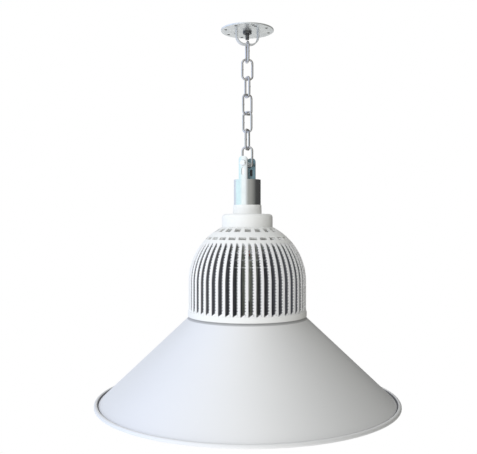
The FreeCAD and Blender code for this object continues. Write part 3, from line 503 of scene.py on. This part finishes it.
WARM_WHITE = ((0.82, 0.82, 0.805), (0.78, 0.78, 0.76))
FINISHES = {
    # The plate's hole walls are coloured near black as painted shade.
    "zinc_plate": zinc("zinc_plate", (0.73, 0.75, 0.75), (0.61, 0.63, 0.63), 0.28, scale=160.0,
                       bump=0.02, metal=0.7, patch=(shade_in_screw_holes, (0.05, 0.05, 0.05), 0.4)),
    "dark_steel": zinc("dark_steel", (0.16, 0.16, 0.16), (0.08, 0.08, 0.08), 0.35),
    "zinc_chain": zinc("zinc_chain", (0.62, 0.61, 0.6), (0.5, 0.49, 0.48), 0.2, scale=180.0,
                       bump=0.01),
    # The tube's inside is coloured dark grey-green as painted shade.
    "zinc_tube": zinc("zinc_tube", (0.8, 0.83, 0.83), (0.7, 0.73, 0.73), 0.1,
                      stretch=(1.0, 1.0, 0.02), scale=1500.0, bump=0.02,
                      patch=(shaded_tube_inside, (0.2, 0.27, 0.27), 0.3)),
    "zinc_fastener": zinc("zinc_fastener", (0.86, 0.88, 0.88), (0.76, 0.78, 0.78), 0.24, metal=0.4),
    "white_coat": coated("white_coat", *WARM_WHITE, 0.36),
    "white_ring": coated("white_ring", *WARM_WHITE, 0.36),
    "fin_coat": coated("fin_coat", (0.84, 0.84, 0.84), (0.79, 0.79, 0.79), 0.38),
    # The cone's two creases are coloured dark as painted shade.
    "spun_aluminium": finish("spun_aluminium", SPINNING_LINES,
                             {"Bright": (0.8, 0.8, 0.8), "Dull": (0.765, 0.765, 0.765),
                              "Lines": 1500.0, "Gloss": 0.4}, bump=0.04, Metallic=0.4,
                             patch=(shade_in_creases, (0.16, 0.16, 0.17), 0.2)),
    "driver_can": zinc("driver_can", (0.8, 0.8, 0.77), (0.66, 0.66, 0.63), 0.35, scale=160.0,
                       metal=0.2),
    "circuit_board": coated("circuit_board", (0.02, 0.12, 0.05), (0.01, 0.08, 0.03), 0.3),
    "driver_potting": coated("driver_potting", (0.03, 0.03, 0.035), (0.02, 0.02, 0.02), 0.5),
    "black_rubber": coated("black_rubber", (0.02, 0.02, 0.02), (0.03, 0.03, 0.03), 0.6),
    "red_insulation": coated("red_insulation", (0.5, 0.02, 0.015), (0.38, 0.02, 0.015), 0.32),
    "black_insulation": coated("black_insulation", (0.02, 0.02, 0.02), (0.03, 0.03, 0.03), 0.35),
    "led_board": coated("led_board", (0.86, 0.86, 0.83), (0.78, 0.78, 0.75), 0.3),
    "led_phosphor": coated("led_phosphor", (0.85, 0.62, 0.08), (0.75, 0.5, 0.05), 0.35),
    "grey_rubber": coated("grey_rubber", (0.3, 0.3, 0.3), (0.24, 0.24, 0.24), 0.55),
    "frosted_glass": finish("frosted_glass", POWDER_SKIN,
                            {"Tint": (0.93, 0.96, 0.96), "Shade": (0.88, 0.92, 0.92),
                             "Peel Scale": 1500.0, "Gloss": 0.3},
                            bump=0.05, Transmission_Weight=0.85, IOR=1.5),
}
# The webs are dark bare metal; their roots are coloured pale as painted light.
BARE_FIN_LIT_ROOTS = zinc("bare_fin_lit_roots", (0.27, 0.28, 0.31), (0.18, 0.18, 0.2), 0.4, scale=300.0, metal=0.4,
                patch=(lit_near_core, (0.95, 0.97, 0.92), 0.1))
STRAP_STEEL = zinc("strap_steel", (0.6, 0.61, 0.61), (0.5, 0.51, 0.51), 0.3, scale=160.0,
                   bump=0.02, metal=0.3)
CORE_PAINT = coated("core_paint", (0.78, 0.8, 0.75), (0.7, 0.72, 0.67), 0.4,
                    patch=(at_core_foot, (0.02, 0.02, 0.02), 0.1))

SLOT_OF = {row["node"]: row["material_slot"] for row in frame["record"]["subparts"]}
for node, finish_name in SLOT_OF.items():
    for slot in frame["nodes"][node].material_slots:
        slot.material = FINISHES[finish_name]
print("finishes", len(FINISHES))


def dress(piece, body, slot, *nodes, material=None):
    """Finish a new piece: its material, the slot's finish unless another is given, its body and the
    CAD nodes it stands for.
    """
    piece.data.materials.clear()
    piece.data.materials.append(material or FINISHES[slot])
    if nodes:
        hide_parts(*nodes)
    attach(piece, body)
    print(piece.name, len(piece.data.polygons), "faces")


# %% [markdown]
# ## The reflector
# The cone is one aluminium disc, spun over a former on a lathe: a flat flange at the neck,
# a tight bend, a long straight wall and a rolled rim that stiffens the edge. Its outer skin
# is carried ring by ring along that profile, and Solidify gives the sheet its thickness.

# %% Spin the reflector
SHEET = 1.2 * MM
FLANGE_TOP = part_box("reflector")[1].z
RIM_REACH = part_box("reflector")[1].x
RIM_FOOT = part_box("reflector")[0].z
FLANGE_INNER, FLANGE_OUTER, NECK_BEND = 66.5 * MM, 77.2 * MM, 2 * MM
SLOPE = 43.1
ROLL = 2.7 * MM
SKIRT = 1.6 * MM
ROUND_STEPS, BEND_STEPS, WALL_STEPS, ROLL_STEPS = 192, 6, 24, 14


def reflector_profile():
    """(radius, height) down the outer skin, from the flange to the foot of the rolled rim."""
    rim = RIM_FOOT + SKIRT
    cone_end = RIM_REACH - 2 * ROLL
    bend = arc((FLANGE_OUTER, FLANGE_TOP - NECK_BEND), NECK_BEND, 90, 90 - SLOPE, BEND_STEPS)
    reach, height = bend[-1]
    wall = [(reach + (cone_end - reach) * step / WALL_STEPS,
             height + (rim - height) * step / WALL_STEPS) for step in range(1, WALL_STEPS)]
    roll = arc((cone_end + ROLL, rim), ROLL, 180, 0, ROLL_STEPS)
    return [(FLANGE_INNER, FLANGE_TOP)] + bend + wall + roll + [(RIM_REACH, RIM_FOOT)]


reflector = spun("reflector_shell", reflector_profile(), steps=ROUND_STEPS)
modified(reflector, "SOLIDIFY", thickness=SHEET, offset=-1)
softened(reflector, 0.3 * MM)
smoothed(reflector)
dress(reflector, "lamp", "spun_aluminium", "reflector")

# %% [markdown]
# ## Edges that catch the light
# A CAD solid has knife edges, but a pressed, cast or sawn part never does: its edges are
# broken by a fraction of a millimetre, and they show as thin bright or dark lines. The CAD
# mesh is loose triangles and stays as it is. A copy is merged, its flat faces are restored,
# and a bevel rounds the sharp edges.

# %% Round the edges of the pressings and castings
ROUNDED = {
    "ceiling_plate": 0.3, "plate_strap": 0.25, "stud_nut": 0.3, "hanger_bracket": 0.25,
    "hanger_nut": 0.3, "neck_collar": 0.5, "cap_collar": 0.4, "vent_cap": 0.3,
    "base_casting": 0.4, "lens_ring": 0.3, "clamp_screws": 0.3,
}


def rounded_copy(node, width):
    """A piece like a CAD node, with its sharp edges rounded by a width in millimetres."""
    original = frame["nodes"][node]
    piece = bpy.data.objects.new(f"{node}_finished", original.data.copy())
    bpy.context.scene.collection.objects.link(piece)
    only(piece)
    bpy.ops.mesh.customdata_custom_splitnormals_clear()
    bpy.ops.object.mode_set(mode="EDIT")
    bpy.ops.mesh.select_all(action="SELECT")
    bpy.ops.mesh.remove_doubles(threshold=DOUBLES)
    bpy.ops.mesh.dissolve_limited(angle_limit=math.radians(0.5))
    bpy.ops.object.mode_set(mode="OBJECT")
    softened(piece, width * MM)
    smoothed(piece)
    return piece


BODY_OF = {node: body for body, nodes in frame["record"]["behaviour"]["bodies"].items()
           for node in nodes}
for node, width in ROUNDED.items():
    dress(rounded_copy(node, width), BODY_OF[node], SLOT_OF[node], node,
          material=STRAP_STEEL if node == "plate_strap" else None)

# %% [markdown]
# ## The shade blank in the back ear
# A thin dark blank closes the slot in the far ear: painted shade. It is traced as a flat
# oblong with round ends, given the thickness of the blank, and set in the ear's wall.

# %% Close the back ear's slot with painted shade
SLOT_WIDE, SLOT_TALL, SLOT_DROP = 3.7 * MM, 9.9 * MM, 11.2 * MM
BLANK_THICK = 0.6 * MM
EAR_TURN = 70
slot_middle = sum(corner.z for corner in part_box("hanger_bolt")) / 2 - SLOT_DROP
slot_end = SLOT_TALL / 2 - SLOT_WIDE / 2
round_top = arc((0, slot_middle + slot_end), SLOT_WIDE / 2, 0, 180, 8)
round_foot = arc((0, slot_middle - slot_end), SLOT_WIDE / 2, 180, 360, 8)
blank_outline = [(TUBE_BORE, side, height) for side, height in round_top + round_foot]
blank = traced("slot_shade_blank", blank_outline, (BLANK_THICK, 0, 0))
only(blank)
turned(EAR_TURN)
in_place(blank)
smoothed(blank)
# The blank's black is painted shade.
dress(blank, "lamp", "black_rubber")

# %% [markdown]
# ## The chain
# Each link is a length of round wire, bent on a mandrel and butt welded in the middle of one
# long side. One ring of points stands for the wire: it is pushed along the straights and
# swept round the four corners until it meets its own start. The weld is a few rings that
# swell. Each link hangs from the one above, turned as the finished chain hangs.

# %% Bend and weld the links
WIRE = 3 * MM
LINK_WIDE = 14 * MM
LINK_LONG = 27 * MM
CORNER = 5 * MM
CHAIN_TURNS = (102, 12, 112, 36, -39, 70, -20)
WIRE_SIDES, CORNER_STEPS = 14, 6
WELD = (1.0, 1.1, 1.17, 1.1, 1.0)
WELD_STEP = 0.8 * MM


def welded_side(run):
    """Push the wire up one long side, swelling it at the weld."""
    straight = (run - WELD_STEP * (len(WELD) - 1)) / 2
    raised((0, 0, straight))
    for last, size in zip(WELD, WELD[1:]):
        raised((0, 0, WELD_STEP))
        bpy.ops.transform.resize(value=(size / last, size / last, 1))
    raised((0, 0, straight))


def chain_link(number, turn):
    """One link as a piece of its own, on its own CAD body."""
    node = f"chain_link_{number}"
    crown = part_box(node)[1].z - WIRE / 2
    across = LINK_WIDE / 2 - CORNER
    run = LINK_LONG - 2 * CORNER
    high, low = crown - CORNER, crown - LINK_LONG + CORNER
    nothing_selected()
    bpy.ops.mesh.primitive_circle_add(vertices=WIRE_SIDES, radius=WIRE / 2,
                                      rotation=(0, math.pi / 2, 0))
    in_place(bpy.context.object)
    piece = started(f"welded_link_{number}")
    bpy.ops.transform.translate(value=(0, 0, crown))
    raised((across, 0, 0))
    swept(90, CORNER_STEPS, (across, 0, high))
    raised((0, 0, -run))
    swept(90, CORNER_STEPS, (across, 0, low))
    raised((-2 * across, 0, 0))
    swept(90, CORNER_STEPS, (-across, 0, low))
    welded_side(run)
    swept(90, CORNER_STEPS, (-across, 0, high))
    raised((across, 0, 0))
    bpy.ops.mesh.select_all(action="SELECT")
    turned(turn)
    tidied(piece)
    smoothed(piece, 60)
    dress(piece, f"link_{number}", "zinc_chain", node)


for number, turn in enumerate(CHAIN_TURNS, start=1):
    chain_link(number, turn)

# %% [markdown]
# ## The heat sink
# The real one is a single casting: a core, fifty thin fins, and a broad edge on each fin.
# Only the outer edges were coated white, and the webs behind them stayed dark, which is why
# the gaps look black. So one web and one edge are modelled, and each is copied round the
# axis. The edge's left side has small teeth, and a small flare widens it where it meets the
# base and the cap. The core is painted. The roots of the webs are coloured pale as painted
# light in the gaps, and the core is coloured black near its foot.

# %% Sizes of the fins
BODY = 79.8 * MM
DOME = 82 * MM
DOME_CENTRE = BODY - DOME
FIN_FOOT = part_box("base_casting")[1].z
FIN_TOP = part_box("heat_sink")[1].z
BARREL = 39.6 * MM
SPRING = FIN_FOOT + BARREL
FIN_COUNT = 50
FIN_TURN = 2.8
FIN_THICK = 1.4 * MM
EDGE_WIDE, EDGE_DEEP = 3.1 * MM, 1.8 * MM
TOP_TURN = math.degrees(math.asin((FIN_TOP - SPRING) / DOME))
print("fins", FIN_COUNT, "dome turn", round(TOP_TURN, 1))


# %% Ring a shape round the axis
def ringed(piece, count, first):
    """Copy a whole piece round the axis, its first copy at an angle."""
    only(piece)
    bpy.ops.object.mode_set(mode="EDIT")
    bpy.ops.mesh.select_all(action="SELECT")
    turned(first)
    bpy.ops.mesh.spin(steps=count - 1, angle=2 * math.pi * (count - 1) / count, dupli=True,
                      center=(0, 0, 0), axis=(0, 0, 1))
    bpy.ops.object.mode_set(mode="OBJECT")


# %% Fin webs, bare metal, with painted light at their roots
CORE, CORE_TOP = 28 * MM, FIN_TOP - 22 * MM
BAND_INNER, BAND_OUTER, BAND_THICK = 48 * MM, 58.5 * MM, 3 * MM
WEB_ROOT = CORE - 1 * MM
SHOULDER = (39.5 * MM, FIN_TOP - 13 * MM)
dome_edge = arc((DOME_CENTRE, SPRING), DOME - EDGE_DEEP / 2, 0, TOP_TURN, 12)
web_outline = ([(WEB_ROOT, FIN_FOOT), (BODY - EDGE_DEEP / 2, FIN_FOOT)] + dome_edge
               + [(BAND_INNER, FIN_TOP), (BAND_INNER, FIN_TOP - BAND_THICK), SHOULDER,
                  (WEB_ROOT, CORE_TOP)])
webs = traced("fin_webs", [(reach, -FIN_THICK / 2, height) for reach, height in web_outline],
              (0, FIN_THICK, 0))
ringed(webs, FIN_COUNT, FIN_TURN)
smoothed(webs)
dress(webs, "lamp", "dark_steel", "heat_sink", material=BARE_FIN_LIT_ROOTS)

# %% Fin edges, coated white
RING_PITCH, TOOTH_PROUD = 1.9 * MM, 2.2 * MM
EDGE_CHAMFER = 0.5 * MM
FOOT_FLARE, HEAD_FLARE = (6 * MM, 4.6 * MM), (3 * MM, 4.5 * MM)
FLARE_LAP = 0.1 * MM
BARREL_STEPS = round(BARREL / RING_PITCH)
DOME_STEPS = round(math.radians(TOP_TURN) * DOME / RING_PITCH)
BARREL_STEP = BARREL / BARREL_STEPS


def ring_number(point):
    """Which ring of the edge a point is on, counted up from the foot."""
    if point.z < SPRING + BARREL_STEP / 4:
        return round((point.z - FIN_FOOT) / BARREL_STEP)
    turn = math.degrees(math.atan2(point.z - SPRING, point.x - DOME_CENTRE))
    return BARREL_STEPS + round(turn / TOP_TURN * DOME_STEPS)


def fin_edge():
    """The outer edge of one fin, up the barrel and over the dome: every other ring is a tooth."""
    nothing_selected()
    bpy.ops.mesh.primitive_plane_add(size=1)
    piece = started("fin_edges")
    bpy.ops.transform.resize(value=(EDGE_DEEP, EDGE_WIDE, 1))
    bpy.ops.mesh.bevel(offset=EDGE_CHAMFER, segments=1, affect="VERTICES")
    bpy.ops.mesh.select_all(action="SELECT")
    bpy.ops.transform.translate(value=(BODY - EDGE_DEEP / 2, 0, FIN_FOOT))
    bpy.ops.mesh.delete(type="ONLY_FACE")
    bpy.ops.mesh.select_all(action="SELECT")
    for _ in range(BARREL_STEPS):
        raised((0, 0, BARREL_STEP))
    swept(-TOP_TURN, DOME_STEPS, (DOME_CENTRE, 0, SPRING))
    bpy.ops.mesh.edge_face_add()
    pick(piece, lambda point: point.z < FIN_FOOT + BARREL_STEP / 2)
    bpy.ops.mesh.edge_face_add()
    pick(piece, lambda point: point.y < -EDGE_WIDE / 3 and ring_number(point) % 2)
    bpy.ops.transform.translate(value=(0, -TOOTH_PROUD, 0))
    return tidied(piece)


def flare(name, wide, tall, up):
    """A small white wedge at the left of an edge, on the barrel: pointing up or down."""
    left, level = -EDGE_WIDE / 2 + FLARE_LAP, FIN_FOOT if up else SPRING
    tip = level + (tall if up else -tall)
    face = [(BODY - EDGE_DEEP, left, level), (BODY - EDGE_DEEP, left - wide, level),
            (BODY - EDGE_DEEP, left, tip)]
    return traced(name, face, (EDGE_DEEP, 0, 0))


edge = fin_edge()
foot = flare("foot_flare", *FOOT_FLARE, up=True)
head = flare("head_flare", *HEAD_FLARE, up=False)
only(head)
turned(-TOP_TURN, "Y", (DOME_CENTRE, 0, SPRING))
in_place(head)
edges = joined("fin_edges", [edge, foot, head])
ringed(edges, FIN_COUNT, FIN_TURN)
smoothed(edges, 50)
dress(edges, "lamp", "fin_coat", "heat_sink")

# %% Core, band and tie rings
CORE_BORE, SPIGOT, SPIGOT_DEEP = 12 * MM, 24 * MM, 3 * MM
core = spun("heat_sink_core", [
    (CORE_BORE, CORE_TOP), (CORE_BORE, FIN_FOOT - SPIGOT_DEEP), (SPIGOT, FIN_FOOT - SPIGOT_DEEP),
    (SPIGOT, FIN_FOOT), (CORE, FIN_FOOT), (CORE, CORE_TOP)], closed=True)
softened(core, 0.4 * MM)
smoothed(core)
dress(core, "lamp", "driver_can", "heat_sink", material=CORE_PAINT)

TIE = 1 * MM
TIE_INSET, TIE_SPREAD = 17.8 * MM, 2 * MM
TIE_DROP, TIE_STEP = 11.5 * MM, 9.3 * MM
rings = [flat_ring("band", BAND_INNER, BAND_OUTER, FIN_TOP, BAND_THICK)]
for step in range(3):
    reach, top = BODY - TIE_INSET + step * TIE_SPREAD, FIN_TOP - TIE_DROP - step * TIE_STEP
    rings.append(flat_ring("tie", reach, reach + TIE, top, TIE))
ties = joined("tie_rings", rings)
softened(ties, 0.2 * MM, segments=1)
smoothed(ties)
dress(ties, "lamp", "zinc_plate", "heat_sink")

# %% [markdown]
# ## Floor, light and camera
# A pale floor lies a metre below the hanging light. The backdrop is plain white. The room
# itself is cool and bright on the left and falls off to warm grey on the right, which is
# what shapes the cone and the polished tube. Four soft lamps fill the front, most of all
# from the left.

# %% Floor
FLOOR_DROP = 1.0


def pale_floor():
    """A wide matte disc under the light, softly mottled."""
    nothing_selected()
    bpy.ops.mesh.primitive_circle_add(vertices=96, radius=1.6, fill_type="NGON",
                                      location=(0, 0, cad_box[0][2] - FLOOR_DROP))
    floor = in_place(bpy.context.object)
    floor.name = "floor"
    floor.data.materials.append(coated("floor_paint", (0.86, 0.86, 0.86), (0.83, 0.83, 0.83), 0.7,
                                       peel=200.0))
    print("floor", FLOOR_DROP, "m below")


pale_floor()


# %% World
def colour_stops(tree, value, stops):
    """A colour ramp with stops at shares from 0 to 1. Returns its colour."""
    node = tree.nodes.new("ShaderNodeValToRGB")
    marks = node.color_ramp.elements
    while len(marks) < len(stops):
        marks.new(0.5)
    for mark, (share, _) in zip(marks, stops):
        mark.position = share
    for mark, (_, colour) in zip(marks, stops):
        mark.color = (*colour, 1)
    tree.links.new(value, node.inputs[0])
    return node.outputs[0]


ROOM = ((0.0, (1.0, 1.08, 1.2)), (0.5, (0.8, 0.8, 0.79)), (0.85, (0.2, 0.2, 0.18)))
ABOVE = ((0.0, (0.8, 0.95, 1.4)), (0.28, (1.0, 1.06, 1.2)), (0.5, (0.92, 0.92, 0.9)),
         (0.9, (0.22, 0.22, 0.2)))
REFLECTED = (
    (-180, (0.7, 0.74, 0.86)), (-125, (0.8, 0.86, 1.0)), (-108, (0.9, 1.13, 1.2)),
    (-66, (0.88, 1.12, 1.18)), (-44, (1.15, 1.2, 1.2)), (-20, (1.08, 1.12, 1.15)),
    (-2, (0.58, 0.58, 0.57)), (8, (0.4, 0.4, 0.38)), (32, (0.37, 0.36, 0.34)),
    (60, (0.2, 0.2, 0.19)), (78, (0.07, 0.07, 0.07)), (180, (0.05, 0.05, 0.05)))
PANELS_END = (0.12, 0.22)
DIM_AHEAD, DIM_UP, DIMMED_BY = (0.3, 0.95), (0.0, 0.15), 0.5


def studio_world():
    """White to the eye, soft light from the left, and a room that only polished metal mirrors.

    That room has panels round the horizon, and it is dimmed high up behind the light.
    """
    world = bpy.data.worlds.new("studio")
    bpy.context.scene.world = world
    world.use_nodes = True
    tree = world.node_tree
    tree.nodes.clear()
    across, ahead, up = position(tree, "Generated")
    room = colour_stops(tree, ramp(tree, across, -1.0, 1.0), ROOM)
    bearing = maths(tree, "ARCTAN2", across, maths(tree, "MULTIPLY", ahead, -1.0))
    share = ramp(tree, bearing, -math.pi, math.pi)
    panels = colour_stops(tree, share, [((turn + 180) / 360, colour) for turn, colour in REFLECTED])
    level = ramp(tree, maths(tree, "ABSOLUTE", up), *PANELS_END)
    above = colour_stops(tree, ramp(tree, across, -1.0, 1.0), ABOVE)
    behind = maths(tree, "MULTIPLY", ramp(tree, ahead, *DIM_AHEAD, 0.0, DIMMED_BY),
                   ramp(tree, up, *DIM_UP))
    dimmed = blended(tree, behind, above, (0.0, 0.0, 0.0))
    mirrored = blended(tree, level, panels, dimmed)
    sky = tree.nodes.new("ShaderNodeBackground")
    rays = tree.nodes.new("ShaderNodeLightPath").outputs
    light = blended(tree, rays["Is Glossy Ray"], room, mirrored)
    tree.links.new(blended(tree, rays["Is Camera Ray"], light, (1, 1, 1)), sky.inputs["Color"])
    tree.links.new(sky.outputs[0], tree.nodes.new("ShaderNodeOutputWorld").inputs[0])
    print("world", len(REFLECTED), "panels")


studio_world()


# %% Lights
def soft_light(name, place, aim, size, power, colour):
    """A square area light that looks at a point."""
    nothing_selected()
    bpy.ops.object.light_add(type="AREA", location=place)
    lamp = bpy.context.object
    lamp.name = name
    lamp.data.size = size
    lamp.data.energy = power
    lamp.data.color = colour
    lamp.visible_glossy = False
    away = lamp.location - type(lamp.location)(aim)
    lamp.rotation_euler = away.to_track_quat("Z", "Y").to_euler()
    print("lamp", name, power, "W")


MIDDLE = (0, 0, -0.3)
EYE_SIDE, EYE_BACK, EYE_HEIGHT = -0.012, -0.919, -0.269
soft_light("key", (-1.5, -1.1, 0.25), MIDDLE, 1.4, 5, (0.93, 0.98, 1.0))
soft_light("top", (-0.2, -0.5, 1.1), MIDDLE, 1.0, 3, (1.0, 1.0, 1.0))
soft_light("front", (EYE_SIDE, -1.7, EYE_HEIGHT), MIDDLE, 0.2, 5, (1.0, 1.0, 1.0))
soft_light("under", (0.1, -0.8, -1.0), MIDDLE, 0.8, 3, (1.0, 0.99, 0.97))

# %% Camera
nothing_selected()
bpy.ops.object.camera_add(location=(EYE_SIDE, EYE_BACK, EYE_HEIGHT), rotation=(math.pi / 2, 0, 0))
camera = bpy.context.object
camera.data.lens = 50.8
camera.data.sensor_width = 36
bpy.context.scene.camera = camera
bpy.context.scene.view_settings.view_transform = "Standard"
print("camera", camera.data.lens, "mm")
